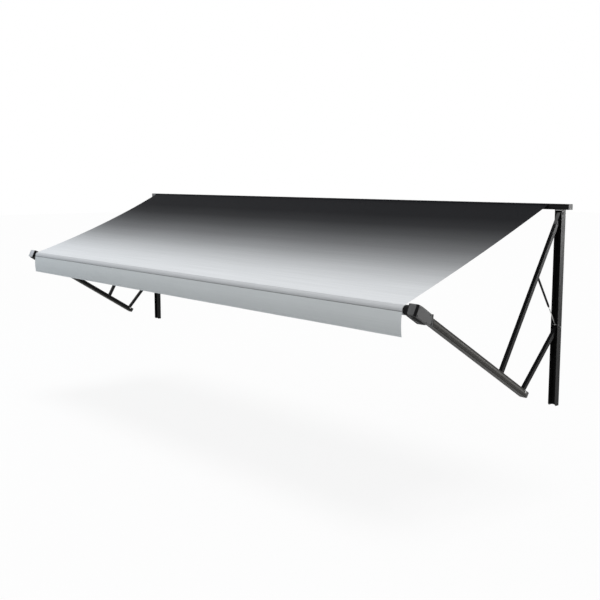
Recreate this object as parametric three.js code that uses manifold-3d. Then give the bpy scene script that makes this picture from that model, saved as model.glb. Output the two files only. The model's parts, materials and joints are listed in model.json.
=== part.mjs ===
// Wall-hung folding-arm canvas awning, spread open: rail, two wall channels, two pairs of
// links with gas struts, two sloping head arms, a motor-driven roller, the canopy and its valance.
// Millimetres. +Z up, +Y into the wall, origin at the middle of the rail's back face.
import * as THREE from 'three';
import { mergeVertices } from 'three/addons/utils/BufferGeometryUtils.js';
import Module from 'manifold-3d';

const wasm = await Module();
wasm.setup();
const { Manifold, Mesh: SolidMesh } = wasm;
const rad = THREE.MathUtils.degToRad;

// Overall sizes
const armSpacing = 6401;         // middle of one wall channel to the middle of the other
const channelLength = 1664;
const fit = 0.3;                 // gap between pieces that touch
const past = 1;                  // how far a cutting shape reaches past the face it cuts
const pinSides = 14;
const bossSides = 20;
const tubeSides = 28;
const boreSides = 32;
const flangeSides = 40;
const boltSides = 6;
const cordSides = 10;            // beads and hems sewn into the fabric

// Rail
const railDepth = 54;
const railHeight = 47;
const railWall = 3;
const railPastRight = 95;        // past the right channel's middle
const railPastLeft = 40;
const capThickness = 4;
const grooveRadius = 4.6;        // holds the canopy's bead
const grooveHeight = 12;         // above the rail's middle
const grooveMouth = 2.6;
const capCorner = 3;

// Wall channels, open to the front
const channelWidth = 68;
const channelDepth = 56;
const channelWall = 2.5;
const channelNotch = 14;
const screwHoleRadius = 4.5;
const screwHoleInset = 120;
const screwHoleSides = 12;

// Pivots in the plane of an arm, as [y, z]
const upperPivot = [-33, -54];
const lowerPivot = [-24, -1010];
const strutPivot = [-42, -990];
const rollerAxis = [-1760, -717.5];
const armSlope = 31.8;           // degrees below level, going from the roller back to the wall
const linkPinAlong = 1159.6;     // along the head arm from the roller's axis
const linkPinAcross = -4;        // across it, towards the wall
const footPinAlong = 1502.7;
const footPinAcross = 13;

// Links
const upperLinkWidth = 33;
const upperLinkDepth = 32;
const lowerLinkWidth = 32;
const lowerLinkDepth = 30;
const linkWall = 2.5;
const pinRadius = 5;
const footPinRadius = 6;
const boltHeadRadius = 9;
const boltHeadHeight = 5;
const footHeadRadius = 11;

// Head arms, open towards the wall, with lips that hold the slider
const armWidth = 68;
const armDepth = 53;
const armWall = 3;
const armCorner = 9;
const armLip = 4;
const armStart = 52;             // from the roller's axis
const armTail = 34;              // past the foot pin
const armCapLength = 18;
const armCapPlug = 8;            // how deep the cap sits in the arm
const armCapRound = 16;
const sliderHalfHeight = 22;
const sliderBridge = 38;
const sliderCheek = 10;          // of the cheek beside the link's web
const sliderGap = 2;             // between the bridge and the link's end

// Gas struts
const strutAlongLink = 575;      // from the upper pivot
const strutAcrossLink = 2;
const cylinderLength = 324;
const cylinderRadius = 9;
const cylinderWall = 1.5;
const strutRodRadius = 4;
const strutEyeRadius = 7;
const strutPinRadius = 4;
const strutStroke = 170;         // room for the rod above its place at rest
const strutEyeHalfWidth = 5;
const strutNeck = 8;             // half of it is the eye's neck's half width
const pistonHeight = 12;
const glandDepth = 8;
const studFlange = 3;

// Head housings, outline as [across the arm, along it away from the wall]
const housingWidth = 95;
const housingWall = 3;
const housingEdge = 13;
const housingCorner = 18;
const housingOutline = [[44, -123], [-29.5, -156], [-57, -102], [-57, 48], [38, 60], [47, 0]];
const bracketFront = 30;
const bracketDepthInArm = 80;
const armPassage = 200;          // length of the arm's opening in the housing

// Roller
const tubeRadius = 36;
const tubeWall = 1.6;
const rollRadius = 39;
const plugFlange = { right: 46, left: 6 };
const plugFlangeRadius = 39.5;
const plugDepth = 40;
const spindleRadius = 8;
const motorRadius = 25;
const motorLength = 620;
const motorShaftRadius = 6;
const motorShaftLength = 26;
const crownThickness = 18;
const spindleRecess = 4;         // of a spindle's end in the arm's wall

// Fabric
const fabricFromRight = 105;     // from the right channel's middle
const fabricFromLeft = 58;
const fabricThickness = 1;
const canopySag = 43;
const canopyEdgeCurve = 34;
const canopySteps = 16;
const beadRadius = 4;
const valanceDrop = 198;         // below the roller's axis
const hemRadius = 3;

const colours = {
  black: 0x1b1c1e,
  channel: 0x35373a,
  grey: 0x8d9092,
  silver: 0xb9bcbe,
  arm: 0x2a2828,
  canvas: 0x8f979d,
  hem: 0xb3babd,
};
function finish(colour, roughness, metalness) {
  return new THREE.MeshStandardMaterial({ color: colours[colour], roughness, metalness });
}
const blackPaint = () => finish('black', 0.5, 0.1);
const channelPaint = () => finish('channel', 0.45, 0.3);
const armPaint = () => finish('arm', 0.4, 0.3);
const plastic = () => finish('black', 0.6, 0);
const greyPlastic = () => finish('grey', 0.5, 0);
const steel = () => finish('silver', 0.3, 0.9);
const canvas = () => finish('canvas', 0.9, 0);

// Solids from three.js geometry, cut and joined
function solid(geometry) {
  const plain = new THREE.BufferGeometry();
  plain.setAttribute('position', geometry.getAttribute('position').clone());
  if (geometry.index) plain.setIndex(geometry.index.clone());
  const merged = mergeVertices(plain, 1e-4);
  return new Manifold(new SolidMesh({
    numProp: 3,
    vertProperties: new Float32Array(merged.getAttribute('position').array),
    triVerts: new Uint32Array(merged.index.array),
  }));
}
const cut = (body, ...tools) => tools.reduce((rest, tool) => rest.subtract(tool), body);
const join = (...bodies) => bodies.reduce((sum, body) => sum.add(body));

function block([x0, x1], [y0, y1], [z0, z1]) {
  const box = new THREE.BoxGeometry(x1 - x0, y1 - y0, z1 - z0);
  box.translate((x0 + x1) / 2, (y0 + y1) / 2, (z0 + z1) / 2);
  return solid(box);
}
// A pin along X
function pin(radius, [x0, x1], y = 0, z = 0, sides = pinSides) {
  const rod = new THREE.CylinderGeometry(radius, radius, x1 - x0, sides);
  rod.rotateZ(Math.PI / 2);
  rod.translate((x0 + x1) / 2, y, z);
  return solid(rod);
}
// A closed outline in the Y-Z plane, swept along X
function acrossX(shape, [x0, x1], bevel = 0) {
  const sweep = new THREE.ExtrudeGeometry(shape, {
    depth: x1 - x0 - 2 * bevel, curveSegments: 4, bevelEnabled: bevel > 0,
    bevelThickness: bevel, bevelSize: bevel, bevelOffset: -bevel, bevelSegments: 2,
  });
  sweep.translate(0, 0, x0 + bevel);
  const toX = new THREE.Matrix4().makeBasis(
    new THREE.Vector3(0, 1, 0), new THREE.Vector3(0, 0, 1), new THREE.Vector3(1, 0, 0));
  sweep.applyMatrix4(toX);
  return solid(sweep);
}
// A closed outline in the X-Y plane, swept along Z
function alongZ(shape, [z0, z1]) {
  const sweep = new THREE.ExtrudeGeometry(shape, { depth: z1 - z0, bevelEnabled: false, curveSegments: 4 });
  sweep.translate(0, 0, z0);
  return solid(sweep);
}
function outline(points) {
  return new THREE.Shape(points.map(([u, v]) => new THREE.Vector2(u, v)));
}
// Rounded corners on an outline given by its points
function roundedOutline(points, radius) {
  const shape = new THREE.Shape();
  const corners = points.map(([u, v]) => new THREE.Vector2(u, v));
  corners.forEach((corner, i) => {
    const before = corners[(i + corners.length - 1) % corners.length];
    const after = corners[(i + 1) % corners.length];
    const reach = Math.min(radius, corner.distanceTo(before) / 2.2, corner.distanceTo(after) / 2.2);
    const start = corner.clone().add(before.clone().sub(corner).setLength(reach));
    const end = corner.clone().add(after.clone().sub(corner).setLength(reach));
    if (i === 0) shape.moveTo(start.x, start.y);
    else shape.lineTo(start.x, start.y);
    shape.quadraticCurveTo(corner.x, corner.y, end.x, end.y);
  });
  shape.closePath();
  return shape;
}
// A stadium hanging from the origin, for links
function stadium(depth, length) {
  const shape = new THREE.Shape();
  shape.absarc(0, 0, depth / 2, 0, Math.PI, false);
  shape.absarc(0, -length, depth / 2, Math.PI, 2 * Math.PI, false);
  shape.closePath();
  return shape;
}
// A solid turned on the Z axis, from [radius, z] points
function turned(points, sides = 16) {
  const lathe = new THREE.LatheGeometry(points.map(([r, z]) => new THREE.Vector2(r, z)), sides);
  lathe.rotateX(Math.PI / 2);
  return solid(lathe);
}
function ring(outer, inner, [x0, x1], sides = tubeSides) {
  return cut(pin(outer, [x0, x1], 0, 0, sides), pin(inner, [x0 - past, x1 + past], 0, 0, sides));
}
const span = (a, b) => [Math.min(a, b), Math.max(a, b)];

const awning = new THREE.Group();
function piece(name, body, material, parent = awning) {
  const shape = body.getMesh();
  const geometry = new THREE.BufferGeometry();
  geometry.setAttribute('position', new THREE.BufferAttribute(new Float32Array(shape.vertProperties), 3));
  geometry.setIndex(new THREE.BufferAttribute(new Uint32Array(shape.triVerts), 1));
  geometry.computeVertexNormals();
  const mesh = new THREE.Mesh(geometry, material);
  mesh.name = name;
  parent.add(mesh);
  return mesh;
}
function frameAt(x, [y, z], degrees = 0, parent = awning) {
  const group = new THREE.Group();
  group.position.set(x, y, z);
  group.rotation.x = rad(degrees);
  parent.add(group);
  return group;
}

// Places worked out from the pivots
const armX = armSpacing / 2;
const alongArm = [Math.cos(rad(armSlope)), -Math.sin(rad(armSlope))];
const acrossArm = [Math.sin(rad(armSlope)), Math.cos(rad(armSlope))];
const onArm = (along, across) => rollerAxis.map(
  (axis, k) => axis + along * alongArm[k] + across * acrossArm[k]);
const linkPin = onArm(linkPinAlong, linkPinAcross);
const footPin = onArm(footPinAlong, footPinAcross);
const angleOf = ([y0, z0], [y1, z1]) => THREE.MathUtils.radToDeg(Math.atan2(y0 - y1, z0 - z1));
const distance = ([y0, z0], [y1, z1]) => Math.hypot(y0 - y1, z0 - z1);
const upperAngle = angleOf(upperPivot, linkPin);
const lowerAngle = angleOf(lowerPivot, footPin);
const upperLength = distance(upperPivot, linkPin);
const lowerLength = distance(lowerPivot, footPin);
const linkDown = [-Math.sin(rad(upperAngle)), -Math.cos(rad(upperAngle))];
const linkIn = [Math.cos(rad(upperAngle)), -Math.sin(rad(upperAngle))];
const strutTop = upperPivot.map(
  (place, k) => place + strutAlongLink * linkDown[k] + strutAcrossLink * linkIn[k]);
const strutLength = distance(strutPivot, strutTop);
const strutAngle = angleOf(strutTop, strutPivot);
const railX = [-armX - railPastLeft, armX + railPastRight];
const fabricX = [-armX + fabricFromLeft, armX - fabricFromRight];
const channelTop = -railHeight / 2 - fit;
const channelInside = channelWidth / 2 - channelWall;
const armInside = armWidth / 2 - armWall;
const rollerEnd = armX - housingWidth / 2 - 2 * fit;

function makeRail() {
  const half = railHeight / 2;
  const inside = half - railWall;
  const pocket = grooveRadius * 2 + railWall;
  const through = [railX[0] - past, railX[1] + past];
  const bar = cut(
    block(railX, [-railDepth, 0], [-half, half]),
    block(through, [-railDepth + pocket + railWall, -railWall], [-inside, inside]),
    pin(grooveRadius, through, -railDepth + grooveRadius + railWall, grooveHeight),
    block(through, [-railDepth - past, -railDepth + grooveRadius],
      [grooveHeight - grooveMouth / 2, grooveHeight + grooveMouth / 2]),
  );
  piece('rail', bar, blackPaint());
  const section = roundedOutline([[-railDepth, -half], [0, -half], [0, half], [-railDepth, half]], capCorner);
  const capX = {
    left: [railX[0] - capThickness - fit, railX[0] - fit],
    right: [railX[1] + fit, railX[1] + capThickness + fit],
  };
  for (const [side, x] of Object.entries(capX)) {
    piece(`rail_end_cap_${side}`, acrossX(section, x), greyPlastic());
  }
}

function makeChannel(side, name) {
  const halfWidth = channelWidth / 2;
  const through = [-halfWidth - past, halfWidth + past];
  const bottom = channelTop - channelLength;
  const holes = [[upperPivot, pinRadius], [lowerPivot, pinRadius], [strutPivot, strutPinRadius]].map(
    ([[y, z], radius]) => pin(radius + fit, through, y, z));
  const screwHeights = [channelTop - screwHoleInset, (channelTop + bottom) / 2, bottom + screwHoleInset];
  const screws = screwHeights.map((z) => {
    const hole = new THREE.CylinderGeometry(screwHoleRadius, screwHoleRadius, 4 * channelWall, screwHoleSides);
    hole.translate(0, 0, z);
    return solid(hole);
  });
  const frontCorner = outline([
    [-channelDepth - past, bottom - past],
    [-channelDepth + channelNotch, bottom - past],
    [-channelDepth - past, bottom + channelNotch],
  ]);
  const body = cut(
    block([-halfWidth, halfWidth], [-channelDepth, 0], [bottom, channelTop]),
    block([-channelInside, channelInside], [-channelDepth - past, -channelWall],
      [bottom - past, channelTop + past]),
    acrossX(frontCorner, through),
    ...holes, ...screws,
  );
  const group = frameAt(side * armX, [0, 0]);
  piece(`wall_channel_${name}`, body, channelPaint(), group);
  const reach = halfWidth + fit;
  for (const [label, [y, z]] of [['upper_pivot_bolt', upperPivot], ['lower_pivot_bolt', lowerPivot]]) {
    const bolt = join(
      pin(pinRadius, [-reach - past, reach + past], y, z),
      pin(boltHeadRadius, [reach, reach + boltHeadHeight], y, z, boltSides),
      pin(boltHeadRadius, [-reach - boltHeadHeight, -reach], y, z, boltSides),
    );
    piece(`${label}_${name}`, bolt, steel(), group);
  }
  piece(`strut_foot_pin_${name}`, pin(strutPinRadius, [-halfWidth, halfWidth], ...strutPivot), steel(), group);
}

// A pressed link: two flanges and a web in front, open towards the wall
function linkBody(width, depth, length) {
  const half = width / 2;
  return cut(
    acrossX(stadium(depth, length), [-half, half]),
    block([-half + linkWall, half - linkWall], [-depth / 2 + linkWall, depth], [-length - depth, depth]),
  );
}

function makeLinks(side, name) {
  const bossX = [-channelInside + fit, channelInside - fit];
  const through = [-channelWidth, channelWidth];
  const bore = pin(pinRadius + fit, through);
  const upper = frameAt(side * armX, upperPivot, -upperAngle);
  const upperBody = cut(
    join(
      linkBody(upperLinkWidth, upperLinkDepth, upperLength),
      pin(upperLinkDepth / 2, bossX, 0, 0, bossSides)),
    bore,
    pin(pinRadius + fit, through, 0, -upperLength),
    pin(strutPinRadius + fit, [-upperLinkWidth, 0], strutAcrossLink, -strutAlongLink),
  );
  piece(`upper_link_${name}`, upperBody, blackPaint(), upper);
  const flange = -upperLinkWidth / 2 - fit;
  const stud = join(
    pin(strutPinRadius, [flange - past, -cylinderRadius - fit], strutAcrossLink, -strutAlongLink),
    pin(strutEyeRadius, [flange - studFlange, flange], strutAcrossLink, -strutAlongLink));
  piece(`strut_stud_${name}`, stud, steel(), upper);

  const lower = frameAt(side * armX, lowerPivot, -lowerAngle);
  const footX = [-lowerLinkWidth / 2, lowerLinkWidth / 2];
  const lowerBody = cut(
    join(
      linkBody(lowerLinkWidth, lowerLinkDepth, lowerLength),
      pin(lowerLinkDepth / 2, bossX, 0, 0, bossSides),
      pin(lowerLinkDepth / 2, footX, 0, -lowerLength, bossSides)),
    bore,
  );
  piece(`lower_link_${name}`, lowerBody, blackPaint(), lower);
}

function makeStrut(side, name) {
  const strut = frameAt(side * armX, strutPivot, -strutAngle);
  const bottom = strutLength - cylinderLength;
  const top = strutLength - strutEyeRadius / 2;
  const inside = cylinderRadius - cylinderWall;
  const pistonRadius = inside - fit;
  const rodTop = top - 2 * cylinderWall - strutStroke;
  const pistonFoot = rodTop - pistonHeight;
  const neck = [-strutNeck / 2, strutNeck / 2];
  const rod = cut(
    join(
      turned([
        [0, strutEyeRadius], [strutRodRadius, strutEyeRadius], [strutRodRadius, pistonFoot],
        [pistonRadius, pistonFoot], [pistonRadius, rodTop], [0, rodTop],
      ]),
      pin(strutEyeRadius + past, [-strutEyeHalfWidth, strutEyeHalfWidth]),
      block(neck, neck, [0, strutEyeRadius + strutNeck])),
    pin(strutPinRadius + fit, [-2 * strutEyeHalfWidth, 2 * strutEyeHalfWidth]),
  );
  piece(`strut_rod_${name}`, rod, steel(), strut);
  const chamber = top - 2 * cylinderWall - 2 * past;
  const shell = cut(
    join(
      turned([
        [0, bottom], [cylinderRadius - past, bottom], [cylinderRadius, bottom + 2 * cylinderWall],
        [cylinderRadius, top - strutRodRadius], [cylinderRadius - 2 * cylinderWall, top], [0, top],
      ]),
      pin(strutEyeRadius, [-cylinderRadius, cylinderRadius], 0, strutLength)),
    turned([
      [0, bottom - past], [strutRodRadius + fit, bottom - past], [strutRodRadius + fit, bottom + glandDepth],
      [inside, bottom + glandDepth], [inside, chamber], [0, chamber],
    ]),
  );
  piece(`strut_cylinder_${name}`, shell, blackPaint(), strut);
}

// The arm's section: rounded in front, square towards the wall
function armSection([z0, z1]) {
  const half = armWidth / 2;
  const back = armDepth / 2;
  const corners = [[-half, back], [-half, -back], [half, -back], [half, back]];
  return join(
    alongZ(roundedOutline(corners, armCorner), [z0, z1]),
    block([-half, half], [0, back], [z0, z1]));
}

function makeHeadArm(side, name) {
  const arm = frameAt(side * armX, rollerAxis, 90 - armSlope);
  const armEnd = -footPinAlong - armTail;
  const back = armDepth / 2;
  const hollow = [armEnd - past, -armStart + past];
  const beam = cut(
    armSection([armEnd, -armStart]),
    block([-armInside, armInside], [-back + armWall, back - armWall], hollow),
    block([-armInside + armLip, armInside - armLip], [0, back + past], hollow),
    pin(footPinRadius + fit, [-armWidth, armWidth], footPinAcross, -footPinAlong),
  );
  piece(`head_arm_${name}`, beam, armPaint(), arm);

  // The cap's lower corner is rounded
  const plugX = armInside - fit;
  const capFace = armEnd - fit;
  const capEnd = capFace - armCapLength;
  const profile = new THREE.Shape();
  profile.moveTo(-back, capFace);
  profile.quadraticCurveTo(-back, capEnd, -back + armCapRound, capEnd);
  profile.lineTo(back - capCorner, capEnd);
  profile.lineTo(back, capEnd + capCorner);
  profile.lineTo(back, capFace);
  profile.closePath();
  const cap = join(
    armSection([capEnd, capFace]).intersect(acrossX(profile, [-armWidth, armWidth])),
    block([-plugX, plugX], [-back + armWall + fit, back - armWall - fit],
      [capFace - past, armEnd + armCapPlug]));
  piece(`arm_end_cap_${name}`, cap, plastic(), arm);

  // Two short bolts hold the lower link's foot from both sides
  const boltX = {
    tip: lowerLinkWidth / 2 + fit,
    shoulder: armInside - fit,
    head: armWidth / 2 + fit,
    end: armWidth / 2 + fit + boltHeadHeight,
  };
  for (const [label, way] of [['outer', side], ['inner', -side]]) {
    const at = (radius, from, to, sides) => pin(
      radius, span(way * boltX[from], way * boltX[to]), footPinAcross, -footPinAlong, sides);
    const bolt = join(
      at(footPinRadius, 'tip', 'end'),
      at(boltHeadRadius, 'tip', 'shoulder'),
      at(footHeadRadius, 'head', 'end', boltSides));
    piece(`foot_bolt_${label}_${name}`, bolt, steel(), arm);
  }

  // The slider that carries the upper link along the arm
  const link = upperLinkWidth / 2 + fit;
  const low = -back + armWall + fit - linkPinAcross;
  const above = sliderHalfHeight + past;
  const carriage = frameAt(side * armX, linkPin, 90 - armSlope);
  const cheeks = cut(
    block([-plugX, plugX], [low, sliderHalfHeight], [-sliderBridge, sliderHalfHeight]),
    block([-link, link], [low - past, above], [-upperLinkDepth / 2 - sliderGap, above]),
    block([-link, link], [upperLinkDepth / 2 - sliderCheek, above], [-sliderBridge - past, 0]),
    pin(pinRadius + fit, [-armWidth, armWidth]),
  );
  piece(`arm_slider_${name}`, cheeks, plastic(), carriage);
  piece(`slider_pin_${name}`, pin(pinRadius, [-plugX, plugX]), steel(), carriage);
  makeHead(side, name, arm);
}

function makeHead(side, name, arm) {
  const half = housingWidth / 2;
  const back = armDepth / 2;
  const plugX = armInside - fit;
  const shaft = side > 0 ? motorRadius : spindleRadius;
  const bracket = cut(
    block([-plugX, plugX], [-back + armWall + fit, back - armWall - fit],
      [-armStart - bracketDepthInArm, bracketFront]),
    pin(spindleRadius + fit, [-housingWidth, housingWidth]),
  );
  piece(`head_bracket_${name}`, bracket, greyPlastic(), arm);
  const innerOutline = housingOutline.map(([across, along]) => {
    const scale = 1 - housingWall / Math.hypot(across, along);
    return [across * scale, along * scale];
  });
  const insideX = [-half + housingWall, half - housingWall];
  const room = join(
    acrossX(roundedOutline(innerOutline, housingCorner), insideX, housingEdge - housingWall),
    block([-armWidth / 2 - fit, armWidth / 2 + fit], [-back - fit, back + fit],
      [-armStart - armPassage, -armStart + past]));
  const shell = cut(acrossX(roundedOutline(housingOutline, housingCorner), [-half, half], housingEdge), room);
  const halves = { outer: side, inner: -side };
  for (const [label, way] of Object.entries(halves)) {
    const x = span(way * fit / 2, way * housingWidth);
    let cover = shell.intersect(block(x, [-armPassage, armPassage], [-armPassage, armPassage]));
    if (label === 'inner') cover = cut(cover, pin(shaft + fit, [-housingWidth, housingWidth], 0, 0, boreSides));
    piece(`head_cover_${label}_${name}`, cover, plastic(), arm);
  }
}

function makeRoller() {
  const axis = frameAt(0, rollerAxis);
  const tubeX = [-rollerEnd + plugFlange.left + fit, rollerEnd - plugFlange.right - fit];
  const plugRadius = tubeRadius - tubeWall - fit;
  piece('roller_tube', ring(tubeRadius, tubeRadius - tubeWall, tubeX), channelPaint(), axis);
  piece('fabric_roll', ring(rollRadius, tubeRadius + fit, fabricX), canvas(), axis);
  for (const [name, side, bore] of [['right', 1, motorRadius], ['left', -1, spindleRadius]]) {
    const face = side * rollerEnd;
    const flange = side * (rollerEnd - plugFlange[name]);
    const deep = side * (rollerEnd - plugFlange[name] - plugDepth);
    const plug = cut(
      join(
        pin(plugFlangeRadius, span(face, flange), 0, 0, flangeSides),
        pin(plugRadius, span(face, deep), 0, 0, boreSides)),
      pin(bore + fit, span(face + side * past, deep - side * past), 0, 0, boreSides),
    );
    piece(`roller_plug_${name}`, plug, plastic(), axis);
  }
  // The tube motor hangs in the right head and drives the tube through a crown on its shaft
  const motorEnd = armX - armInside;
  const motorTip = motorEnd - motorLength;
  const motor = join(
    pin(motorRadius, [motorTip, motorEnd], 0, 0, boreSides),
    pin(motorShaftRadius, [motorTip - motorShaftLength, motorTip + past]),
    pin(spindleRadius, [motorEnd - past, armX + armInside - spindleRecess]));
  piece('tube_motor', motor, greyPlastic(), axis);
  const crown = cut(
    pin(plugRadius, [motorTip - fit - crownThickness, motorTip - fit], 0, 0, boreSides),
    pin(motorShaftRadius + fit, [motorTip - 2 * crownThickness, motorTip]),
  );
  piece('motor_crown', crown, steel(), axis);
  const spindleX = [-armX - armInside + spindleRecess, -rollerEnd + plugFlange.left + plugDepth];
  piece('idler_spindle', pin(spindleRadius, spindleX), steel(), axis);
}

// The canopy: a bead in the rail's groove and one sagging sheet that lies on the roll's top
function canopyCurve() {
  const start = [-railDepth - fit, grooveHeight];
  const slope = Math.atan2(start[1] - rollerAxis[1] - rollRadius, start[0] - rollerAxis[0]);
  const lift = rollRadius + fit + fabricThickness / 2;
  const end = [rollerAxis[0] - lift * Math.sin(slope), rollerAxis[1] + lift * Math.cos(slope)];
  const across = [Math.sin(slope), -Math.cos(slope)];
  return Array.from({ length: canopySteps + 1 }, (_, i) => {
    const t = i / canopySteps;
    const sag = 4 * canopySag * t * (1 - t);
    return start.map((place, k) => place + (end[k] - place) * t + across[k] * sag);
  });
}

function makeFabric() {
  const curve = canopyCurve();
  const half = fabricThickness / 2;
  const sheet = outline([
    ...curve.map(([y, z]) => [y, z + half]),
    ...curve.slice().reverse().map(([y, z]) => [y, z - half]),
  ]);
  const beadY = -railDepth + grooveRadius + railWall;
  const plan = new THREE.Shape();
  const front = rollerAxis[0] - rollRadius;
  const middle = (front - railDepth) / 2;
  plan.moveTo(fabricX[0], 0);
  plan.lineTo(fabricX[1], 0);
  plan.lineTo(fabricX[1], -railDepth);
  plan.quadraticCurveTo(fabricX[1] - 2 * canopyEdgeCurve, middle, fabricX[1], front);
  plan.lineTo(fabricX[0], front);
  plan.quadraticCurveTo(fabricX[0] + 2 * canopyEdgeCurve, middle, fabricX[0], -railDepth);
  const body = join(
    acrossX(sheet, fabricX),
    block(fabricX, [-railDepth - fit - past, beadY], [grooveHeight - half, grooveHeight + half]),
    pin(beadRadius, fabricX, beadY, grooveHeight, cordSides),
  ).intersect(alongZ(plan, [rollerAxis[1] - rollRadius, railHeight]));
  piece('canopy', body, canvas());

  const valanceY = rollerAxis[0] - rollRadius - fit - half;
  const bottom = rollerAxis[1] - valanceDrop;
  const valance = join(
    block(fabricX, [valanceY - half, valanceY + half], [bottom, rollerAxis[1]]),
    pin(hemRadius, fabricX, valanceY, bottom + hemRadius, cordSides));
  piece('valance', valance, finish('hem', 0.9, 0));
}

makeRail();
for (const [side, name] of [[1, 'right'], [-1, 'left']]) {
  makeChannel(side, name);
  makeLinks(side, name);
  makeStrut(side, name);
  makeHeadArm(side, name);
}
makeRoller();
makeFabric();

export default awning;
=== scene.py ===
import json
import math

import bmesh
import bpy
from bpy.props import FloatProperty, FloatVectorProperty, IntProperty, PointerProperty
from mathutils import Matrix, Vector


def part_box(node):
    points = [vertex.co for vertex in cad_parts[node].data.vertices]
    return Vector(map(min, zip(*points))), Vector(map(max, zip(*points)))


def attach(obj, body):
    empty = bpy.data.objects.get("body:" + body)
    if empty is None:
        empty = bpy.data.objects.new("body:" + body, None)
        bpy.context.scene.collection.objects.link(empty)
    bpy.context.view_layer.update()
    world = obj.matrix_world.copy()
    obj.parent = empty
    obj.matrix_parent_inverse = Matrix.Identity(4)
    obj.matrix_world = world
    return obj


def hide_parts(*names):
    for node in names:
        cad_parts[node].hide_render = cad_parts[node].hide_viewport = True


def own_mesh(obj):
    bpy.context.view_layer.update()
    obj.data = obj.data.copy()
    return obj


bl_info = {
    "name": "Folding Arm Awning",
    "version": (1, 0, 0),
    "blender": (4, 5, 0),
    "location": "3D View > Sidebar > Awning",
    "description": "Dresses a wall-hung folding-arm awning: fabric, roller, housings, arms, wall channels",
    "category": "Object",
}

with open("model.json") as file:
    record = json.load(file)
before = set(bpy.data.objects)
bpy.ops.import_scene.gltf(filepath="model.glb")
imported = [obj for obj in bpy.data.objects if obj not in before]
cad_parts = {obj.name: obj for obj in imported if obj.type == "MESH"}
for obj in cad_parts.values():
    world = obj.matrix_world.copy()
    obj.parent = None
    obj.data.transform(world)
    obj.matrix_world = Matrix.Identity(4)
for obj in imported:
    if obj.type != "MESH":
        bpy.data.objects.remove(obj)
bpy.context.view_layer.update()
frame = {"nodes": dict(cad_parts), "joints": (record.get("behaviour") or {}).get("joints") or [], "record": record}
NODES = frame["nodes"]
JOINTS = {joint["name"]: joint for joint in frame["joints"]}
BEHAVIOUR = frame["record"]["behaviour"]
BODIES = {node: body for body, members in BEHAVIOUR["bodies"].items() for node in members}
SIDES = {"right": 1.0, "left": -1.0}


def low(node):
    """Lowest corner of a CAD node."""
    return Vector(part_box(node)[0])


def high(node):
    """Highest corner of a CAD node."""
    return Vector(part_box(node)[1])


def middle(node):
    """Middle of a CAD node's box."""
    return (low(node) + high(node)) / 2


def outer_end(node, way):
    """X of a CAD node's right end, or of its left end where way is below 0."""
    return high(node).x if way > 0 else low(node).x


def pivot(joint):
    """A hinge's place at rest."""
    return Vector(JOINTS[joint]["pos_m"])


def direction(joint):
    """A joint's axis at rest."""
    return Vector(JOINTS[joint]["axis"]).normalized()


def down_the_arm():
    """Direction of the head arms from the roller towards the wall."""
    slide = direction("arm_slide_right")
    return slide if slide.y > 0 else -slide


ROLLER = pivot("roller_turn")
DOWN_ARM = down_the_arm()
ACROSS_ARM = Vector((0.0, -DOWN_ARM.z, DOWN_ARM.y))
ARM_X = middle("wall_channel_right").x
WRAP_RADIUS = (high("fabric_roll").z - low("fabric_roll").z) / 2
CLOTH_LEFT = low("canopy").x
CLOTH_RIGHT = high("canopy").x
CLOTH_WIDTH = CLOTH_RIGHT - CLOTH_LEFT
CLOTH_MIDDLE = (CLOTH_LEFT + CLOTH_RIGHT) / 2
RAIL_LOW = low("rail")
RAIL_HIGH = high("rail")
RAIL_FRONT = RAIL_LOW.y

# The valance hangs from a seam a little below the roller's axis
SEAM_DROP = 0.0105
SEAM_HEIGHT = ROLLER.z - SEAM_DROP
VALANCE_DROP = SEAM_HEIGHT - low("valance").z


# Sizes and colours that a user would change


def length(label, about, default):
    """A length in metres."""
    return FloatProperty(name=label, description=about, default=default, unit="LENGTH")


def colour(label, about, default):
    """A colour."""
    return FloatVectorProperty(name=label, description=about, default=default, size=3, subtype="COLOR")


def angle(label, about, default):
    """An angle, with its default in degrees."""
    return FloatProperty(name=label, description=about, default=math.radians(default), subtype="ANGLE")


class AwningFabric(bpy.types.PropertyGroup):
    """Sizes and colours of the canopy, the valance and the wound fabric."""

    thickness: length("Thickness", "Thickness of the laminated fabric", 0.0008)
    sag: length("Sag", "How far the middle hangs below the straight line", 0.043)
    edge_curve: length("Edge Curve", "How far the side edges pull in at the middle", 0.034)
    groove_height: length("Groove Height", "Rail groove above the rail's middle", 0.012)
    hem_height: length("Hem Height", "Height of the sewn hem", 0.018)
    dark: colour("Dark End", "Colour at the wall", (0.0105, 0.0108, 0.0125))
    pale: colour("Pale End", "Colour at the roller", (0.78, 0.80, 0.82))
    valance: colour("Valance", "Colour of the valance", (0.715, 0.75, 0.76))


class AwningMetal(bpy.types.PropertyGroup):
    """Colours and edges of the painted aluminium and steel."""

    edge: length("Edge", "Rounding of the bars' edges", 0.0012)
    link: colour("Links", "Links, struts and rail", (0.006, 0.006, 0.0065))
    channel: colour("Channels", "Wall channels", (0.0105, 0.0107, 0.0105))
    arm: colour("Arms", "Head arms", (0.036, 0.0345, 0.031))
    # The raised bands' lighter colour is a painted highlight
    band_highlight: colour("Arm Bands", "Raised bands on the head arms", (0.11, 0.107, 0.10))
    plate: colour("End Plates", "Plates on the upper links' wall ends", (0.1, 0.1, 0.1))
    steel: colour("Steel", "Bolts, pins and strut rods", (0.42, 0.42, 0.41))


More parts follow.
